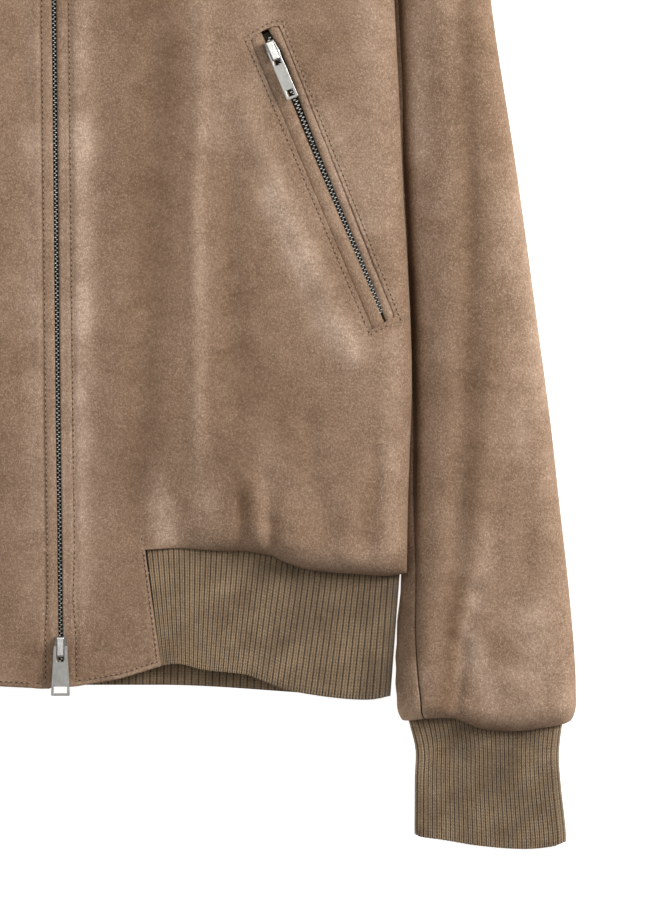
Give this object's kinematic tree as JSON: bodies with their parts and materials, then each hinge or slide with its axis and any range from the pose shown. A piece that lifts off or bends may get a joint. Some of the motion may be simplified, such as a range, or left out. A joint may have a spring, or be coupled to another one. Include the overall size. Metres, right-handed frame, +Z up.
{
  "type": "suede jacket",
  "caption": "Zipped suede blouson jacket lying flat, with ribbed hem, cuffs and collar, a two-way front zip and slanted zip pockets.",
  "frame": {"origin": "middle of the garment's outline, on the surface that it lies on", "axes": "+Z up out of the surface, +Y toward the collar, +X toward the wearer's left sleeve"},
  "size_m": [0.6228, 0.7642, 0.0376],
  "materials": {
    "suede": "napped suede, light taupe",
    "rib": "rib knit, olive brown",
    "zip_metal": "satin silver",
    "zip_teeth": "dark aged metal",
    "zip_tape": "woven tape, brown"
  },
  "bodies": {
    "jacket": {"back": "suede", "front_left": "suede", "front_right": "suede", "sleeve_left_upper": "suede", "sleeve_left_under": "suede", "sleeve_right_upper": "suede", "sleeve_right_under": "suede", "pocket_left_lip_lower": "suede", "pocket_left_lip_upper": "suede", "pocket_right_lip_lower": "suede", "pocket_right_lip_upper": "suede", "cuff_left": "rib", "cuff_right": "rib", "hem_rib": "rib", "collar": "rib", "slider_lower": "zip_metal", "slider_upper": "zip_metal", "slider_pocket_left": "zip_metal", "slider_pocket_right": "zip_metal", "zip_chain_lower": "zip_teeth", "zip_chain_middle": "zip_teeth", "zip_chain_upper": "zip_teeth", "pocket_left_chain": "zip_teeth", "pocket_right_chain": "zip_teeth", "zip_tape_left": "zip_tape", "zip_tape_right": "zip_tape"},
    "tab_lower": {"pull_lower": "zip_metal"},
    "tab_upper": {"pull_upper": "zip_metal"},
    "tab_pocket_left": {"pull_pocket_left": "zip_metal"},
    "tab_pocket_right": {"pull_pocket_right": "zip_metal"}
  },
  "joints": [
    {"name": "pull_lower_swing", "type": "hinge", "parent": "jacket", "child": "tab_lower", "pos_m": [0.00131, -0.2609, 0.01972], "axis": [-1, 0, 0], "range_deg": [0, 150]},
    {"name": "pull_upper_swing", "type": "hinge", "parent": "jacket", "child": "tab_upper", "pos_m": [-0.00426, 0.3021, 0.0245], "axis": [-1, 0, 0], "range_deg": [0, 150]},
    {"name": "pull_pocket_left_swing", "type": "hinge", "parent": "jacket", "child": "tab_pocket_left", "pos_m": [0.12924, 0.09617, 0.0358], "axis": [-0.9211, -0.3893, 0], "range_deg": [0, 150]},
    {"name": "pull_pocket_right_swing", "type": "hinge", "parent": "jacket", "child": "tab_pocket_right", "pos_m": [-0.12924, 0.09617, 0.0358], "axis": [-0.9211, 0.3893, 0], "range_deg": [0, 150]}
  ]
}
